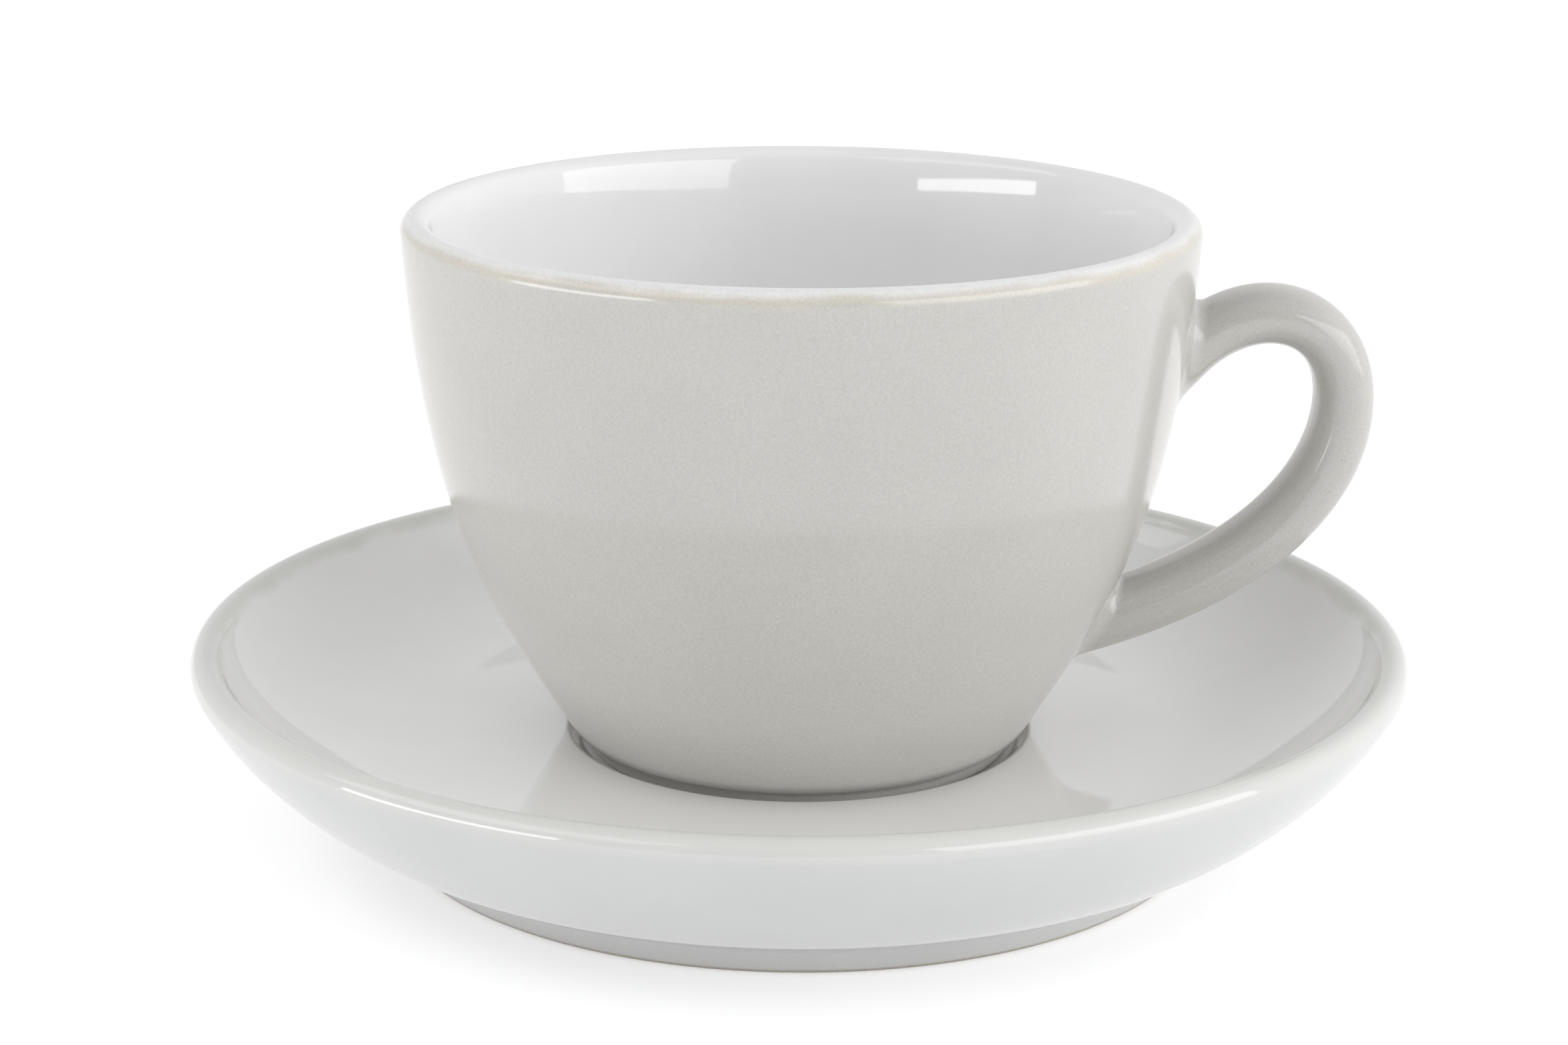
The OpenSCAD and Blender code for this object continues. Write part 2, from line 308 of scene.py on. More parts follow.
class WareSettings(bpy.types.PropertyGroup):
    """All that a user may change"""
    saucer: bpy.props.PointerProperty(type=SaucerSizes)
    cup: bpy.props.PointerProperty(type=CupSizes)
    handle: bpy.props.PointerProperty(type=HandleSizes)
    glaze: bpy.props.PointerProperty(type=GlazeLooks)
    stage: bpy.props.PointerProperty(type=StageLooks)
    segments: count("Segments", "Segments round the turned ware", 192)
    curve_steps: count("Curve steps", "Steps along each curve of a section", 44)
    round_steps: count("Edge steps", "Steps round each rounded edge", 14)
    strap_sides: count("Strap sides", "Sides round the strap", 96)
    strap_steps: count("Strap steps", "Steps along the strap", 150)
    fillet_steps: count("Fillet steps", "Steps up each fillet", 24)
    cap_rings: count("Cap rings", "Rings across each joint face", 6)


# Curves of the sections, as points of radius and height

def heading(a):
    """The direction at an angle from level."""
    return np.array([math.cos(a), math.sin(a)])


def left(v):
    """Directions turned a quarter to the left."""
    return np.stack([-v[..., 1], v[..., 0]], axis=-1)


def unit(v):
    """Directions of length one."""
    return v / np.linalg.norm(v, axis=-1, keepdims=True)


def ease(t):
    """A soft step from 0 to 1."""
    t = np.clip(t, 0, 1)
    return t * t * (3 - 2 * t)


def bezier(p, t):
    """Points on a cubic curve with four control points."""
    t = np.asarray(t)[..., None]
    return (1 - t) ** 3 * p[0] + 3 * (1 - t) ** 2 * t * p[1] + 3 * (1 - t) * t ** 2 * p[2] + t ** 3 * p[3]


def bezier_heading(p, t):
    """Directions along a cubic curve with four control points."""
    t = np.asarray(t)[..., None]
    return unit((1 - t) ** 2 * (p[1] - p[0]) + 2 * (1 - t) * t * (p[2] - p[1]) + t ** 2 * (p[3] - p[2]))


def arc(middle, r, start, end, steps):
    """Points round an arc."""
    return np.array([middle + r * heading(a) for a in np.linspace(start, end, steps + 1)])


def rounded(corners, steps):
    """A chain of straight lines whose corners, each a point and a radius, are rounded."""
    points = [corners[0][0]]
    for (before, _), (corner, r), (after, _) in zip(corners, corners[1:], corners[2:]):
        to_before = unit(before - corner)
        to_after = unit(after - corner)
        half = math.acos(np.clip(to_before @ to_after, -1, 1)) / 2
        middle = corner + unit(to_before + to_after) * r / math.sin(half)
        start = corner + to_before * r / math.tan(half) - middle
        end = corner + to_after * r / math.tan(half) - middle
        first = math.atan2(start[1], start[0])
        sweep = (math.atan2(end[1], end[0]) - first + math.pi) % (2 * math.pi) - math.pi
        points.extend(arc(middle, r, first, first + sweep, steps))
    points.append(corners[-1][0])
    return np.array(points)


def at(r, h):
    """A point of a section."""
    return np.array([r, h])


def saucer_section(saucer, cup, settings):
    """The saucer's section, from its hollow round the foot and rim to the well."""
    steps = np.linspace(0, 1, settings.curve_steps + 1)
    foot_r = saucer.foot_d / 2
    hollow_h = saucer.floor_h - saucer.floor_t
    foot_inner_r = foot_r - saucer.foot_w
    crease = at(foot_r + saucer.foot_h * math.tan(saucer.foot_lean), saucer.foot_h)
    rim_r = saucer.rim_t / 2
    rim_middle = at(saucer.d / 2 - rim_r, saucer.h - rim_r)
    underside_end = rim_middle + rim_r * heading(-saucer.underside_lean)
    reach = underside_end - crease
    underside = bezier([
        crease,
        crease + reach[0] * saucer.underside_shares[0] * heading(saucer.underside_slope),
        underside_end - reach[1] * saucer.underside_shares[1] * heading(UPRIGHT - saucer.underside_lean),
        underside_end], steps)
    inside_start = at(saucer.floor_d / 2, saucer.floor_h)
    inside_end = rim_middle + rim_r * heading(math.pi - saucer.inside_lean)
    reach = inside_end - inside_start
    inside = bezier([
        inside_end,
        inside_end - reach[1] * saucer.inside_shares[1] * heading(UPRIGHT - saucer.inside_lean),
        inside_start + at(reach[0] * saucer.inside_shares[0], 0),
        inside_start], steps)
    foot = rounded([
        (at(0, hollow_h), 0),
        (at(foot_inner_r - hollow_h * saucer.hollow_slope_share, hollow_h), saucer.well_edge_r),
        (at(foot_inner_r, 0), saucer.foot_edge_r),
        (at(foot_r, 0), saucer.foot_edge_r),
        (crease, saucer.crease_r),
        (underside[TANGENT_STEP], 0)], settings.round_steps // 2)
    rim = arc(rim_middle, rim_r, -saucer.underside_lean, math.pi - saucer.inside_lean, settings.round_steps)
    well_r = cup.foot_d / 2 + saucer.well_play
    well = rounded([
        (inside_start, 0),
        (at(well_r + saucer.well_edge_w, saucer.floor_h), saucer.well_edge_r),
        (at(well_r, cup.seat_h), saucer.well_edge_r),
        (at(0, cup.seat_h), 0)], settings.round_steps // 2)
    return np.concatenate([foot, underside[TANGENT_STEP + 1:-1], rim, inside[1:-1], well])


def wall_curve(cup):
    """Control points of the cup's wall, from the shoulder up to the lip, above the cup's foot."""
    lip_r = cup.lip_t / 2
    foot = at(cup.shoulder_d / 2, cup.shoulder_h)
    top = at(cup.d / 2 - lip_r, cup.h - lip_r) + lip_r * heading(-cup.wall_lean)
    rise = top[1] - foot[1]
    return [
        foot,
        foot + rise * cup.wall_shares[0] * heading(cup.wall_slope),
        top - rise * cup.wall_shares[1] * heading(UPRIGHT - cup.wall_lean),
        top]


def lip_round(outer, upward, inside, top_h, steps):
    """The arc over the lip, from the outside's line to the inside's, up to a height."""
    inward = left(upward)
    lean_in = unit(inside[0] - inside[1])
    across = -left(lean_in)
    r_terms = [across @ inward - 1, inward[1] + 1]
    rise_terms = [across @ upward, upward[1]]
    r, rise = np.linalg.solve(
        np.column_stack([r_terms, rise_terms]), [across @ (inside[0] - outer), top_h - outer[1]])
    middle = outer + rise * upward + r * inward
    start = math.atan2(-inward[1], -inward[0])
    end = math.atan2(-across[1], -across[0])
    return arc(middle, r, start, end, steps)


def cup_section(cup, settings):
    """The cup's section, from its underside round the foot, wall and lip to the floor."""
    steps = np.linspace(0, 1, settings.curve_steps + 1)
    curve = wall_curve(cup)
    wall = bezier(curve, steps)
    shoulder_middle = curve[0] + cup.shoulder_r * left(heading(cup.wall_slope))
    underside_h = shoulder_middle[1] - cup.shoulder_r
    floor_h = underside_h + cup.floor_t
    foot_r = cup.foot_d / 2
    foot_inner_r = foot_r - cup.foot_w
    shoulder_start = -math.acos(max(0, foot_r - shoulder_middle[0]) / cup.shoulder_r)
    shoulder = arc(
        shoulder_middle, cup.shoulder_r, shoulder_start, cup.wall_slope - UPRIGHT, settings.round_steps)
    foot = rounded([
        (at(0, underside_h), 0),
        (at(foot_inner_r, underside_h), cup.foot_edge_r),
        (at(foot_inner_r, 0), cup.foot_edge_r),
        (at(foot_r, 0), cup.foot_edge_r),
        (at(foot_r, shoulder[0][1]), cup.foot_edge_r),
        (shoulder[TANGENT_STEP], 0)], settings.round_steps // 2)
    along = 1 - (1 - cup.floor_turn_share) * steps ** LIP_CROWDING
    outside = bezier(curve, along)
    below_lip = np.linalg.norm(outside - curve[3], axis=1)
    depth = np.interp(along, [cup.floor_turn_share, 1], [cup.wall_t, cup.lip_t])
    depth -= cup.flare * np.clip(1 - below_lip / cup.flare_h, 0, 1) ** 2
    inside = outside + depth[:, None] * left(bezier_heading(curve, along))
    lip = lip_round(curve[3], heading(UPRIGHT - cup.wall_lean), inside, cup.h, settings.round_steps)
    wall_end = inside[-1]
    floor = bezier([
        wall_end,
        wall_end - wall_end[0] * cup.floor_shares[0] * bezier_heading(curve, cup.floor_turn_share),
        at(wall_end[0] * cup.floor_shares[1], floor_h),
        at(0, floor_h)], steps)
    section = np.concatenate([foot, shoulder[TANGENT_STEP + 1:], wall[1:-1], lip, inside[1:-1], floor])
    return section + at(0, cup.seat_h)


# Node trees

def add_node(tree, kind, inputs=None, **values):
    """A new node with its values set, and its inputs set or, where a socket is given, linked."""
    node = tree.nodes.new(kind)
    for name, value in values.items():
        setattr(node, name, value)
    for name, value in (inputs or {}).items():
        if isinstance(value, bpy.types.NodeSocket):
            tree.links.new(value, node.inputs[name])
        else:
            node.inputs[name].default_value = value
    return node


def turned_ware_tree():
    """A tree that turns a section, given in the XY plane, round the Z axis."""
    tree = bpy.data.node_groups.new("turned_ware", "GeometryNodeTree")
    for name, kind in (("Section", "Geometry"), ("Segments", "Int"),
                       ("Rail Radius", "Float"), ("Glaze", "Material")):
        tree.interface.new_socket(name, in_out="INPUT", socket_type=f"NodeSocket{kind}")
    tree.interface.new_socket("Ware", in_out="OUTPUT", socket_type="NodeSocketGeometry")
    given = add_node(tree, "NodeGroupInput").outputs
    inward = add_node(tree, "ShaderNodeMath", {0: given["Rail Radius"], 1: -1}, operation="MULTIPLY")
    shift = add_node(tree, "ShaderNodeCombineXYZ", {"X": inward.outputs[0]})
    placed = add_node(tree, "GeometryNodeTransform", {
        "Geometry": given["Section"], "Translation": shift.outputs[0], "Scale": (1, -1, 1)})
    section = add_node(tree, "GeometryNodeMeshToCurve", {"Mesh": placed.outputs[0]})
    rail = add_node(tree, "GeometryNodeCurvePrimitiveCircle", {
        "Resolution": given["Segments"], "Radius": given["Rail Radius"]})
    turned = add_node(tree, "GeometryNodeCurveToMesh", {
        "Curve": rail.outputs["Curve"], "Profile Curve": section.outputs[0]})
    closed = add_node(tree, "GeometryNodeMergeByDistance", {
        "Geometry": turned.outputs[0], "Distance": MERGE_DISTANCE})
    outward = add_node(tree, "GeometryNodeFlipFaces", {"Mesh": closed.outputs[0]})
    smooth = add_node(tree, "GeometryNodeSetShadeSmooth", {"Geometry": outward.outputs[0]})
    real = add_node(tree, "GeometryNodeRealizeInstances", {"Geometry": smooth.outputs[0]})
    glazed = add_node(tree, "GeometryNodeSetMaterial", {
        "Geometry": real.outputs[0], "Material": given["Glaze"]})
    add_node(tree, "NodeGroupOutput", {"Ware": glazed.outputs[0]})
    return tree


def run_from_edge(section):
    """Distance along a section from its highest point: outside is negative, inside positive."""
    run = np.concatenate([[0], np.cumsum(np.linalg.norm(np.diff(section, axis=0), axis=1))])
    return run - run[section[:, 1].argmax()]


def turn(name, section, bare_h, glaze, settings):
    """A piece turned from its section, whose foot is bare clay up to a height above its lowest point."""
    mesh = bpy.data.meshes.new(name)
    points = np.column_stack([section, np.zeros(len(section))])
    mesh.from_pydata(points.tolist(), [(i, i + 1) for i in range(len(points) - 1)], [])
    store(mesh, "edge_run", run_from_edge(section))
    store(mesh, "bare", ease(2 - (section[:, 1] - section[:, 1].min()) / bare_h))
    piece = bpy.data.objects.new(name, mesh)
    bpy.context.scene.collection.objects.link(piece)
    tree = bpy.data.node_groups.get("turned_ware") or turned_ware_tree()
    turning = piece.modifiers.new("turning", "NODES")
    turning.node_group = tree
    values = {"Segments": settings.segments, "Rail Radius": settings.cup.foot_d / 2, "Glaze": glaze}
    for socket in tree.interface.items_tree:
        if socket.name in values:
            turning[socket.identifier] = values[socket.name]
    ready = piece.evaluated_get(bpy.context.evaluated_depsgraph_get())
    piece.data = bpy.data.meshes.new_from_object(ready)
    piece.data.name = name
    piece.modifiers.remove(turning)
    return piece


def store(mesh, name, values):
    """Keeps a number or a vector for each point of a mesh."""
    values = np.asarray(values, dtype=np.float32)
    kind, key = ("FLOAT", "value") if values.ndim == 1 else ("FLOAT_VECTOR", "vector")
    mesh.attributes.new(name, kind, "POINT").data.foreach_set(key, values.ravel())


# The strap handle

class Wall:
    """The cup's outside, as a surface that the handle is joined to."""

    def __init__(self, cup):
        along = np.linspace(0, 1, WALL_SAMPLES)
        curve = wall_curve(cup)
        points = bezier(curve, along)
        headings = bezier_heading(curve, along)
        self.h = points[:, 1] + cup.seat_h
        self.r = points[:, 0]
        self.lean = np.arctan2(headings[:, 0], headings[:, 1])

    def normal(self, p):
        """Directions away from the wall beside points."""
        lean = np.interp(p[..., 2], self.h, self.lean)
        round_z = np.arctan2(p[..., 1], p[..., 0])
        return np.stack([
            np.cos(lean) * np.cos(round_z), np.cos(lean) * np.sin(round_z), -np.sin(lean)], axis=-1)

    def gap(self, p):
        """Distances of points from the wall."""
        lean = np.interp(p[..., 2], self.h, self.lean)
        return (np.hypot(p[..., 0], p[..., 1]) - np.interp(p[..., 2], self.h, self.r)) * np.cos(lean)

    def near(self, p, gap):
        """The points at a distance from the wall beside given points."""
        return p + (gap - self.gap(p))[..., None] * self.normal(p)


class Strap:
    """The handle's strap: a surface over the distance u along it and the share q round its section."""

    def __init__(self, handle, cup, wall, curve_steps):
        self.set_middle(handle, cup, wall, curve_steps)
        self.set_section(handle)

    def set_middle(self, handle, cup, wall, curve_steps):
        """Works out the strap's middle line, from one root to the other, and its thickness along it."""
        lip_r = cup.d / 2
        bow = at(lip_r + handle.reach - handle.t / 2, cup.seat_h + handle.bow_h)
        root_h = cup.seat_h + handle.root_h
        low_root_h = cup.seat_h + handle.low_root_h
        root = at(np.interp(root_h, wall.h, wall.r), root_h)
        low_root = at(np.interp(low_root_h, wall.h, wall.r), low_root_h)
        upper_run = bow[0] - root[0]
        lower_run = bow[0] - low_root[0]
        upper_arm = [
            root,
            root + upper_run * handle.upper_arm_shares[0] * heading(handle.root_slope),
            bow + at(0, upper_run * handle.upper_arm_shares[1]),
            bow]
        lower_arm = [
            bow,
            bow - at(0, lower_run * handle.lower_arm_shares[0]),
            low_root + lower_run * handle.lower_arm_shares[1] * heading(handle.low_root_slope),
            low_root]
        sink = handle.reach * handle.root_sink_share
        steps = np.linspace(0, 1, ARM_SAMPLES_PER_STEP * curve_steps + 1)
        back = np.linspace(sink, 0, curve_steps)[:-1, None]
        into = np.linspace(0, sink, curve_steps)[1:, None]
        middle = np.concatenate([
            root - back * heading(handle.root_slope),
            bezier(upper_arm, steps),
            bezier(lower_arm, steps[1:]),
            low_root - into * heading(handle.low_root_slope)])
        direction = np.concatenate([
            np.repeat(heading(handle.root_slope)[None], len(back), axis=0),
            bezier_heading(upper_arm, steps),
            bezier_heading(lower_arm, steps[1:]),
            np.repeat(-heading(handle.low_root_slope)[None], len(into), axis=0)])
        way_share = np.concatenate([0 * back[:, 0], steps / 2, (1 + steps[1:]) / 2, 1 + 0 * into[:, 0]])
        self.along = np.concatenate([[0], np.cumsum(np.linalg.norm(np.diff(middle, axis=0), axis=1))])
        self.middle = middle
        self.up = left(direction)
        first_share, last_share = handle.growth_shares
        growth = ease((way_share - first_share) / (last_share - first_share))
        self.half_t = (handle.t + (handle.low_t - handle.t) * growth) / 2
        self.bow_at = self.along[len(back) + len(steps) - 1]
        self.end = self.along[-1]

    def set_section(self, handle):
        """Works out the strap's outline, in halves of its thickness and width, over shares of its girth."""
        turns = np.linspace(0, 2 * math.pi, SECTION_SAMPLES)
        power = 2 / handle.squareness
        self.rise = np.sign(np.cos(turns)) * np.abs(np.cos(turns)) ** power
        self.side = np.sign(np.sin(turns)) * np.abs(np.sin(turns)) ** power
        girth = np.hypot(np.diff(self.rise) * handle.t, np.diff(self.side) * handle.w)
        self.round = np.concatenate([[0], np.cumsum(girth)]) / girth.sum()
        self.w = handle.w

    def section(self, u, q):
        """Offsets from the strap's middle, in the handle's plane and across it."""
        rise = np.interp(q % 1, self.round, self.rise) * np.interp(u, self.along, self.half_t)
        side = np.interp(q % 1, self.round, self.side) * self.w / 2
        return rise, side

    def point(self, u, q):
        """Points at a distance along the strap and a share round its section."""
        u, q = np.broadcast_arrays(u, q)
        rise, side = self.section(u, q)
        x, z = (np.interp(u, self.along, m) for m in self.middle.T)
        up_x, up_z = (np.interp(u, self.along, m) for m in self.up.T)
        return np.stack([x + up_x * rise, side, z + up_z * rise], axis=-1)

    def tangents(self, u, q):
        """How the surface runs along the strap and round its section."""
        du = self.end * LENGTH_STEP_SHARE
        dq = GIRTH_STEP_SHARE
        along = (self.point(u + du, q) - self.point(u - du, q)) / (2 * du)
        across = (self.point(u, q + dq) - self.point(u, q - dq)) / (2 * dq)
        return along, across


def where_strap_meets(strap, wall, q, start, end):
    """Distance along the strap, from its bow towards a root, at which each side meets the wall."""
    u = np.linspace(start, end, MEETING_SAMPLES)
    gaps = wall.gap(strap.point(u[:, None], q[None, :]))
    first = np.argmax(gaps < 0, axis=0)
    columns = np.arange(len(q))
    outside, inside = gaps[first - 1, columns], gaps[first, columns]
    return u[first - 1] + (u[first] - u[first - 1]) * outside / (outside - inside)


def fillet(strap, wall, q, u, reach, steps):
    """A fillet between wall and strap, tangent to both: its points, and where on the strap it ends."""
    corner = strap.point(u, q)
    along, across = strap.tangents(u, q)
    skin = unit(np.cross(along, across))
    off_wall = wall.normal(corner)
    cosine = np.sum(skin * off_wall, axis=-1, keepdims=True)
    up_strap = unit(off_wall - cosine * skin)
    over_wall = unit(skin - cosine * off_wall)
    du = reach * np.sum(up_strap * unit(along), axis=-1)
    dq = reach * np.sum(up_strap * unit(across), axis=-1) / np.linalg.norm(across, axis=-1)
    top = strap.point(u + du, q + dq)
    along, across = strap.tangents(u + du, q + dq)
    down_strap = -unit(along * du[:, None] + across * dq[:, None])
    foot = wall.near(corner + reach * over_wall, 0)
    foot_normal = wall.normal(foot)
    back = corner - foot
    to_strap = unit(back - np.sum(back * foot_normal, axis=-1, keepdims=True) * foot_normal)
    opening = np.arccos(np.clip(np.sum(up_strap * over_wall, axis=-1), -1, 1))
    bend = 4 / 3 * np.tan((math.pi - opening) / 4) * np.tan(opening / 2) * reach
    bend = bend[:, None]
    t = np.linspace(0, 1, steps + 1)
    curve = [foot, foot + bend * to_strap, top + bend * down_strap, top]
    return np.stack([bezier(curve, np.full(len(q), x)) for x in t]), u + du, q + dq


def surface_normals(rows, outwards):
    """Directions away from a closed band of points."""
    along = np.gradient(rows, axis=0)
    across = np.roll(rows, -1, axis=1) - np.roll(rows, 1, axis=1)
    normals = unit(np.cross(across, along))
    return normals * np.sign(np.sum(normals * outwards))


def between(rows, start, end, steps):
    """Rows resampled, on each side of the strap, from one row number to another."""
    places = start + (end - start) * np.linspace(0, 1, steps + 1)[:, None]
    lower = np.clip(np.floor(places).astype(int), 0, len(rows) - 2)
    part = (places - lower)[..., None]
    columns = np.arange(rows.shape[1])
    return rows[lower, columns] * (1 - part) + rows[lower + 1, columns] * part


def cap(loop, wall, gap, rings):
    """Rings of points across a joint face, which follows the wall, from its edge to its middle."""
    middle = loop.mean(axis=0)
    shares_in = np.linspace(0, 1, rings + 1)[1:]
    inner = [wall.near(loop + (middle - loop) * s, gap) for s in shares_in[:-1]]
    return np.array(inner), wall.near(middle, gap)


def band_mesh(name, rows, normals, places, caps):
    """A closed mesh of a band of rows with a cap at each end, which keeps the band's own normals."""
    sides = rows.shape[1]
    points = [rows.reshape(-1, 3)]
    faces = []

    def grid(first, row_count, flipped):
        for i in range(row_count - 1):
            for j in range(sides):
                a = first + i * sides + j
                b = first + i * sides + (j + 1) % sides
                quad = (a, b, b + sides, a + sides)
                faces.append(quad[::-1] if flipped else quad)

    def ring_of(index):
        return list(range(index, index + sides))

    grid(0, len(rows), False)
    band_faces = len(faces)
    for (inner, middle), edge, flipped in zip(caps, (0, (len(rows) - 1) * sides), (True, False)):
        count_so_far = sum(len(p) for p in points)
        rings = [ring_of(edge)] + [ring_of(count_so_far + k * sides) for k in range(len(inner))]
        points += [inner.reshape(-1, 3), middle[None]]
        peak = count_so_far + inner.shape[0] * sides
        for outer_ring, inner_ring in zip(rings, rings[1:]):
            for j in range(sides):
                k = (j + 1) % sides
                quad = (outer_ring[j], outer_ring[k], inner_ring[k], inner_ring[j])
                faces.append(quad[::-1] if flipped else quad)
        for j in range(sides):
            fan = (rings[-1][j], rings[-1][(j + 1) % sides], peak)
            faces.append(fan[::-1] if flipped else fan)
    points = np.concatenate(points)
    a, b, _, d = (points[i] for i in faces[0])
    if np.cross(b - a, d - a) @ normals[0, 0] < 0:
        faces = [face[::-1] for face in faces]
    mesh = bpy.data.meshes.new(name)
    mesh.from_pydata(points.tolist(), [], faces)
    mesh.shade_smooth()
    flat = normals.reshape(-1, 3)
    mesh.normals_split_custom_set([
        flat[v] if face.index < band_faces else face.normal
        for face in mesh.polygons for v in face.vertices])
    place = np.zeros((len(points), 3))
    place[:rows.shape[0] * sides] = places.reshape(-1, 3)
    store(mesh, "strap_place", place)
    return mesh


def strap_bands(settings):
    """The strap's rows from wall to wall, their normals and places, and where the slip ends."""
    handle = settings.handle
    wall = Wall(settings.cup)
    strap = Strap(handle, settings.cup, wall, settings.curve_steps)
    q = np.arange(settings.strap_sides) / settings.strap_sides
    root_u = where_strap_meets(strap, wall, q, strap.bow_at, 0)
    low_root_u = where_strap_meets(strap, wall, q, strap.bow_at, strap.end)
    upper, first_u, first_q = fillet(strap, wall, q, root_u, handle.fillet_reach, settings.fillet_steps)
    lower, last_u, last_q = fillet(strap, wall, q, low_root_u, handle.fillet_reach, settings.fillet_steps)
    t = np.linspace(0, 1, settings.strap_steps + 1)[:, None]
    u = first_u + (last_u - first_u) * t
    turned = first_q + (last_q - first_q) * t
    rows = np.concatenate([upper[:-1], strap.point(u, turned), lower[-2::-1]])
    repeats = np.ones((settings.fillet_steps, 1))
    rise, side = strap.section(u, turned)
    places = np.stack([rise, side, u], axis=-1)
    places = np.concatenate([places[:1] * repeats[..., None], places, places[-1:] * repeats[..., None]])
    middle = rows.mean(axis=1, keepdims=True)
    normals = surface_normals(rows, rows - middle)
    for end in (0, -1):
        normals[end] = wall.normal(rows[end])
        rows[end] = wall.near(rows[end], -handle.fillet_sink)
    gaps = wall.gap(rows)
    columns = np.arange(settings.strap_sides)
    bow_row = len(rows) // 2
    after = np.argmax(gaps > handle.slip_t, axis=0)
    near, far = gaps[after - 1, columns], gaps[after, columns]
    start = after - 1 + (handle.slip_t - near) / (far - near)
    before = bow_row + np.argmax(gaps[bow_row:] < handle.slip_t, axis=0) - 1
    far, near = gaps[before, columns], gaps[before + 1, columns]
    end = before + (far - handle.slip_t) / (far - near)
    return wall, rows, normals, places, start, end


def strap_piece(name, bands, start, end, steps, gaps, material, settings):
    """One of the strap's pieces, between two places along it, with a face at each end."""
    wall, rows, normals, places = bands
    cut = between(rows, start, end, steps)
    caps = [cap(loop, wall, gap, settings.cap_rings) for loop, gap in zip((cut[0], cut[-1]), gaps)]
    mesh = band_mesh(
        name, cut, unit(between(normals, start, end, steps)), between(places, start, end, steps), caps)
    mesh.materials.append(material)
    piece = bpy.data.objects.new(name, mesh)
    bpy.context.scene.collection.objects.link(piece)
    return piece


# Glazes

def noise(tree, place, size, detail):
    """Soft noise from 0 to 1 whose patches have a size."""
    return add_node(tree, "ShaderNodeTexNoise", {
        "Vector": place, "Scale": 1 / size, "Detail": detail}).outputs["Fac"]


def spread(tree, value, low, high):
    """A value's usual spread, as noise gives it, carried over to another spread."""
    return add_node(tree, "ShaderNodeMapRange", {
        "Value": value, "From Min": NOISE_SPREAD[0], "From Max": NOISE_SPREAD[1],
        "To Min": low, "To Max": high}).outputs[0]


def darkened(tree, body, value, depth):
    """A colour that noise darkens by a share."""
    return add_node(tree, "ShaderNodeVectorMath", {
        0: body, "Scale": spread(tree, value, 1 - depth, 1)}, operation="SCALE").outputs[0]


def blended(tree, factor, first, second):
    """A blend of two colours, each a socket or a colour."""
    first, second = (c if isinstance(c, bpy.types.NodeSocket) else (*c, 1) for c in (first, second))
    return add_node(tree, "ShaderNodeMix", {
        "Factor": factor, "A": first, "B": second}, data_type="RGBA").outputs["Result"]


def raised(tree, value, height, under=None):
    """A surface on which noise stands up by a height, over another one."""
    inputs = {"Height": value, "Strength": 1.0, "Distance": height}
    if under:
        inputs["Normal"] = under
    return add_node(tree, "ShaderNodeBump", inputs).outputs[0]


def speckled(tree, place, looks, body):
    """A colour with a few specks scattered in it."""
    cells = add_node(tree, "ShaderNodeTexVoronoi", {"Vector": place, "Scale": 1 / looks.speck_spacing})
    chosen = add_node(tree, "ShaderNodeSeparateColor", {"Color": cells.outputs["Color"]})
    largest = looks.speck_r / looks.speck_spacing
    r = add_node(tree, "ShaderNodeMapRange", {
        "Value": chosen.outputs["Red"], "From Min": 1 - looks.speck_share, "From Max": 1.0,
        "To Min": 0.0, "To Max": largest})
    inside = add_node(tree, "ShaderNodeMath", {
        0: r.outputs[0], 1: cells.outputs["Distance"]}, operation="SUBTRACT")
    cover = add_node(tree, "ShaderNodeMapRange", {
        "Value": inside.outputs[0], "From Min": 0.0, "From Max": largest * SPECK_FADE_SHARE,
        "To Min": 0.0, "To Max": looks.speck_depth})
    return blended(tree, cover.outputs[0], body, looks.speck)


def glaze_material(name, looks, glaze_sockets):
    """A glaze with patches, grain and specks and a faintly uneven surface, over gritty clay."""
    material = bpy.data.materials.new(name)
    material.use_nodes = True
    tree = material.node_tree
    tree.nodes.clear()
    place = add_node(tree, "ShaderNodeTexCoord").outputs["Object"]
    patches = noise(tree, place, looks.patch_size, PATCH_DETAIL)
    grain = noise(tree, place, looks.grain_size, GRAIN_DETAIL)
    grit = noise(tree, place, looks.grit_size, GRIT_DETAIL)
    body, glossy = glaze_sockets(tree, place)
    body = darkened(tree, body, patches, looks.patch_depth)
    body = blended(tree, glossy, darkened(tree, body, grain, looks.grain_depth), body)
    body = speckled(tree, place, looks, body)
    bare = add_node(tree, "ShaderNodeAttribute", attribute_name="bare").outputs["Fac"]
    shown = blended(tree, bare, body, darkened(tree, looks.clay, grit, looks.grit_depth))
    sheen = add_node(tree, "ShaderNodeMix", {
        "Factor": glossy,
        "A": spread(tree, patches, *looks.satin),
        "B": spread(tree, patches, *looks.gloss)})
    roughness = add_node(tree, "ShaderNodeMix", {
        "Factor": bare, "A": sheen.outputs["Result"], "B": looks.clay_roughness})
    gritty = add_node(tree, "ShaderNodeMath", {0: grit, 1: bare}, operation="MULTIPLY").outputs[0]
    waves = noise(tree, place, looks.wave_size, WAVE_DETAIL)
    ripples = noise(tree, place, looks.ripple_size, RIPPLE_DETAIL)
    surface = raised(tree, waves, looks.wave_h)
    surface = raised(tree, ripples, looks.ripple_h, surface)
    surface = raised(tree, gritty, looks.grit_h, surface)
    shader = add_node(tree, "ShaderNodeBsdfPrincipled", {
        "Base Color": shown, "Roughness": roughness.outputs["Result"],
        "IOR": looks.index, "Normal": surface})
    add_node(tree, "ShaderNodeOutputMaterial", {"Surface": shader.outputs[0]})
    return material


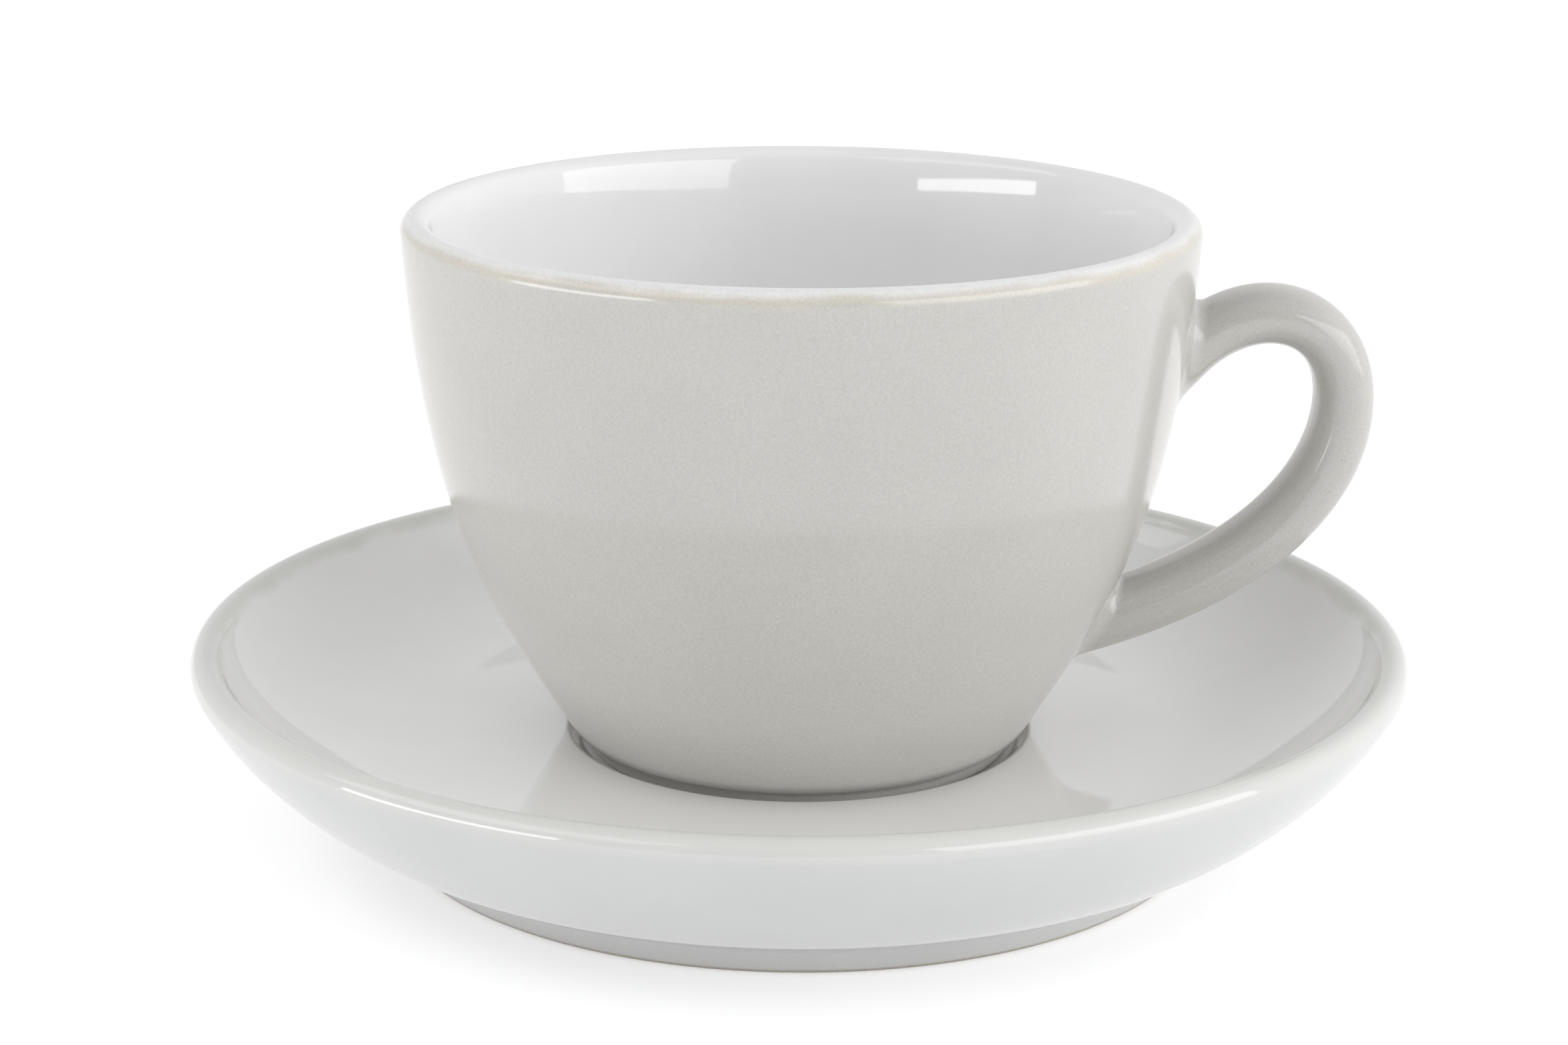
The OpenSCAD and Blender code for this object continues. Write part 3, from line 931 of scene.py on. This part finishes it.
def glaze_line(tree, run, band, blur):
    """A socket that goes from 0 outside a line, at a distance from the ware's edge, to 1 inside it."""
    return add_node(tree, "ShaderNodeMapRange", {
        "Value": run, "From Min": -band - blur / 2, "From Max": -band + blur / 2},
        interpolation_type="SMOOTHSTEP").outputs[0]


def banded_glaze(looks, colours, lines, blur, satin_outside):
    """Glaze on the outside, edge and inside of turned ware, which meet at two lines beside its crest.

    Where the outside is satin, the gloss begins at the crest.
    """
    outside, edge, inside = colours
    outer_line, inner_line = lines

    def glaze_sockets(tree, place):
        run = add_node(tree, "ShaderNodeAttribute", attribute_name="edge_run").outputs["Fac"]
        waver_h = blur * WAVER_SHARE
        waver = spread(tree, noise(tree, place, looks.waver_size, WAVER_DETAIL), -waver_h, waver_h)
        sway = add_node(tree, "ShaderNodeMath", {0: run, 1: waver}, operation="ADD").outputs[0]
        outer = blended(tree, glaze_line(tree, sway, outer_line, blur), outside, edge)
        glaze = blended(tree, glaze_line(tree, sway, inner_line, blur), outer, inside)
        return glaze, glaze_line(tree, sway, 0, blur) if satin_outside else 1
    return glaze_sockets


def drawn_glaze(looks):
    """Glaze on the strap, which has run in faint streaks along it."""
    def glaze_sockets(tree, place):
        along = add_node(tree, "ShaderNodeAttribute", attribute_name="strap_place").outputs["Vector"]
        drawn = add_node(tree, "ShaderNodeMapping", {
            "Vector": along, "Scale": (1, 1, 1 / looks.streak_stretch)}).outputs[0]
        streaks = noise(tree, drawn, looks.streak_w, STREAK_DETAIL)
        return darkened(tree, looks.ivory, streaks, looks.streak_depth), 0
    return glaze_sockets


# Stage

def seen_rays(tree):
    """A socket that is 1 for rays from the camera, and for those seen in gloss or through glass."""
    rays = add_node(tree, "ShaderNodeLightPath").outputs
    either = add_node(tree, "ShaderNodeMath", {
        0: rays["Is Camera Ray"], 1: rays["Is Glossy Ray"]}, operation="MAXIMUM")
    return add_node(tree, "ShaderNodeMath", {
        0: either.outputs[0], 1: rays["Is Transmission Ray"]}, operation="MAXIMUM").outputs[0]


def set_floor(scene, looks):
    """A white floor that keeps the ware's shadow."""
    half = looks.floor_size / 2
    mesh = bpy.data.meshes.new("floor")
    corners = [(-half, -half, 0), (half, -half, 0), (half, half, 0), (-half, half, 0)]
    mesh.from_pydata(corners, [], [(0, 1, 2, 3)])
    material = bpy.data.materials.new("floor_paper")
    material.use_nodes = True
    tree = material.node_tree
    tree.nodes.clear()
    paper = add_node(tree, "ShaderNodeBsdfDiffuse", {"Color": (*looks.floor, 1)})
    glow = add_node(tree, "ShaderNodeEmission", {"Color": (1, 1, 1, 1), "Strength": looks.floor_glow})
    white = add_node(tree, "ShaderNodeAddShader", {0: paper.outputs[0], 1: glow.outputs[0]})
    shown = add_node(tree, "ShaderNodeMixShader", {
        0: seen_rays(tree), 1: paper.outputs[0], 2: white.outputs[0]})
    add_node(tree, "ShaderNodeOutputMaterial", {"Surface": shown.outputs[0]})
    mesh.materials.append(material)
    floor = bpy.data.objects.new("floor", mesh)
    scene.collection.objects.link(floor)


def set_surroundings(scene, looks):
    """A plain room, whose four walls and ceiling each have a brightness and run softly into each other."""
    world = bpy.data.worlds.new("plain_room")
    world.use_nodes = True
    tree = world.node_tree
    tree.nodes.clear()

    def combined(first, second, operation):
        return add_node(tree, "ShaderNodeMath", {0: first, 1: second}, operation=operation).outputs[0]

    towards = add_node(tree, "ShaderNodeTexCoord").outputs["Generated"]
    flat = add_node(tree, "ShaderNodeVectorMath", {0: towards, 1: (1, 1, 0)}, operation="MULTIPLY")
    level = add_node(tree, "ShaderNodeVectorMath", {0: flat.outputs[0]}, operation="NORMALIZE")
    across = add_node(tree, "ShaderNodeSeparateXYZ", {"Vector": level.outputs[0]}).outputs
    height = add_node(tree, "ShaderNodeSeparateXYZ", {"Vector": towards}).outputs["Z"]
    walls = 0
    for axis, low_wall, high_wall in (
            ("X", looks.left_wall, looks.right_wall), ("Y", looks.front_wall, looks.back_wall)):
        facing = combined(across[axis], across[axis], "MULTIPLY")
        is_high = combined(across[axis], 0, "GREATER_THAN")
        brightness = add_node(tree, "ShaderNodeMix", {"Factor": is_high, "A": low_wall, "B": high_wall})
        walls = combined(combined(facing, brightness.outputs["Result"], "MULTIPLY"), walls, "ADD")
    strength = add_node(tree, "ShaderNodeMapRange", {
        "Value": height, "From Min": math.sin(looks.walls_end), "From Max": math.sin(looks.ceiling_start),
        "To Min": walls, "To Max": looks.ceiling}, interpolation_type="SMOOTHSTEP")
    room = add_node(tree, "ShaderNodeBackground", {"Strength": strength.outputs[0], "Color": (1, 1, 1, 1)})
    add_node(tree, "ShaderNodeOutputWorld", {"Surface": room.outputs[0]})
    scene.world = world


def set_window(scene, name, place, size, brightness, distance):
    """A soft window of light that faces the ware and that the camera doesn't see."""
    azimuth, elevation = place
    light = bpy.data.lights.new(name, "AREA")
    light.shape = "RECTANGLE"
    light.size = 2 * distance * math.tan(size[0] / 2)
    light.size_y = 2 * distance * math.tan(size[1] / 2)
    light.energy = brightness * math.pi * light.size * light.size_y
    ahead = Vector((
        math.cos(azimuth) * math.cos(elevation),
        math.sin(azimuth) * math.cos(elevation),
        math.sin(elevation)))
    lamp = bpy.data.objects.new(name, light)
    lamp.location = distance * ahead
    lamp.rotation_euler = (-ahead).to_track_quat("-Z", "Y").to_euler()
    lamp.visible_camera = False
    scene.collection.objects.link(lamp)


def set_camera(scene, looks):
    """The camera at the photograph's viewing angle."""
    ahead = Vector((
        math.sin(looks.yaw) * math.cos(looks.pitch),
        math.cos(looks.yaw) * math.cos(looks.pitch),
        -math.sin(looks.pitch)))
    level = Vector((math.cos(looks.yaw), -math.sin(looks.yaw), 0))
    upward = level.cross(ahead)
    right = level * math.cos(looks.roll) + upward * math.sin(looks.roll)
    top = upward * math.cos(looks.roll) - level * math.sin(looks.roll)
    data = bpy.data.cameras.new("camera")
    data.sensor_width = SENSOR_WIDTH
    data.lens = looks.focal_pixels * SENSOR_WIDTH / PHOTO_WIDTH
    camera = bpy.data.objects.new("camera", data)
    turned = Matrix((right, top, -ahead)).transposed().to_4x4()
    camera.matrix_world = Matrix.Translation((looks.camera_x, looks.camera_y, looks.camera_z)) @ turned
    scene.collection.objects.link(camera)
    scene.camera = camera


# Operators

def finish_piece(piece, body, node):
    """Sets a piece in the frame in place of its CAD node."""
    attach(piece, body)
    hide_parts(node)


class WARE_OT_saucer(bpy.types.Operator):
    """Turn the saucer and glaze it"""
    bl_idname = "ware.saucer"
    bl_label = "Saucer"

    def execute(self, context):
        settings = context.scene.ware
        looks = settings.glaze
        # The saucer's bands: painted shade on the rim between its two lines, painted light on the dish
        glaze = glaze_material(
            "saucer_glaze", looks, banded_glaze(
                looks, (looks.underside, looks.rim, looks.dish_with_painted_light),
                (looks.rim_shade_band, -looks.rim_shade_inside), looks.rim_shade_blur, False))
        section = saucer_section(settings.saucer, settings.cup, settings)
        piece = turn("saucer_turned", section, settings.saucer.foot_edge_r / 2, glaze, settings)
        finish_piece(piece, "saucer", "saucer")
        return {"FINISHED"}


class WARE_OT_cup_body(bpy.types.Operator):
    """Turn the cup's bowl and glaze it in ivory outside and white inside"""
    bl_idname = "ware.cup_body"
    bl_label = "Cup body"

    def execute(self, context):
        settings = context.scene.ware
        looks = settings.glaze
        glaze = glaze_material(
            "cup_glaze", looks, banded_glaze(
                looks, (looks.ivory, looks.cream, looks.white),
                (looks.lip_band + looks.cream_band, looks.lip_band), looks.blur, True))
        section = cup_section(settings.cup, settings)
        piece = turn("cup_body_turned", section, settings.cup.foot_edge_r / 2, glaze, settings)
        finish_piece(piece, "cup", "cup_body")
        return {"FINISHED"}


class WARE_OT_handle(bpy.types.Operator):
    """Sweep the strap handle, and the slip that joins it to the bowl at both roots"""
    bl_idname = "ware.handle"
    bl_label = "Handle and slip joints"

    def execute(self, context):
        settings = context.scene.ware
        glaze = glaze_material("handle_glaze", settings.glaze, drawn_glaze(settings.glaze))
        *bands, start, end = strap_bands(settings)
        last = np.full_like(end, len(bands[1]) - 1)
        slip_t = settings.handle.slip_t
        bed = -settings.handle.fillet_sink
        for name, first_row, last_row, steps, gaps in (
                ("upper_slip_joint", 0 * start, start, settings.fillet_steps, (bed, slip_t)),
                ("handle", start, end, settings.strap_steps, (slip_t, slip_t)),
                ("lower_slip_joint", end, last, settings.fillet_steps, (slip_t, bed))):
            piece = strap_piece(
                f"{name}_glazed", bands, first_row, last_row, steps, gaps, glaze, settings)
            finish_piece(piece, "cup", name)
        return {"FINISHED"}


class WARE_OT_stage(bpy.types.Operator):
    """Set the floor, the lamps, the surroundings and the camera"""
    bl_idname = "ware.stage"
    bl_label = "Stage"

    def execute(self, context):
        scene = context.scene
        scene.view_settings.view_transform = "Standard"
        looks = scene.ware.stage
        set_floor(scene, looks)
        set_surroundings(scene, looks)
        for name in WINDOWS:
            set_window(
                scene, name, getattr(looks, name), getattr(looks, f"{name}_size"),
                getattr(looks, f"{name}_brightness"), looks.window_distance)
        set_camera(scene, looks)
        return {"FINISHED"}


# Panel and registration

class WARE_PT_panel(bpy.types.Panel):
    """The steps that build the ware, and its settings"""
    bl_label = "Cup and saucer"
    bl_space_type = "VIEW_3D"
    bl_region_type = "UI"
    bl_category = "Ware"

    def draw(self, context):
        for step in STEPS:
            self.layout.operator(step.bl_idname)
        settings = context.scene.ware
        for group in (settings.saucer, settings.cup, settings.handle, settings.glaze, settings.stage):
            box = self.layout.box()
            for name in group.__annotations__:
                box.prop(group, name)


STEPS = (WARE_OT_saucer, WARE_OT_cup_body, WARE_OT_handle, WARE_OT_stage)
CLASSES = (
    SaucerSizes, CupSizes, HandleSizes, GlazeLooks, StageLooks, WareSettings, *STEPS, WARE_PT_panel)


def register():
    """Make the settings, the steps and the panel known to Blender"""
    for cls in CLASSES:
        bpy.utils.register_class(cls)
    bpy.types.Scene.ware = bpy.props.PointerProperty(type=WareSettings)


def unregister():
    """Take them away again"""
    del bpy.types.Scene.ware
    for cls in reversed(CLASSES):
        bpy.utils.unregister_class(cls)


def main():
    """Build the ware and its stage"""
    register()
    bpy.ops.ware.saucer()
    bpy.ops.ware.cup_body()
    bpy.ops.ware.handle()
    bpy.ops.ware.stage()


if __name__ == "__main__":
    main()
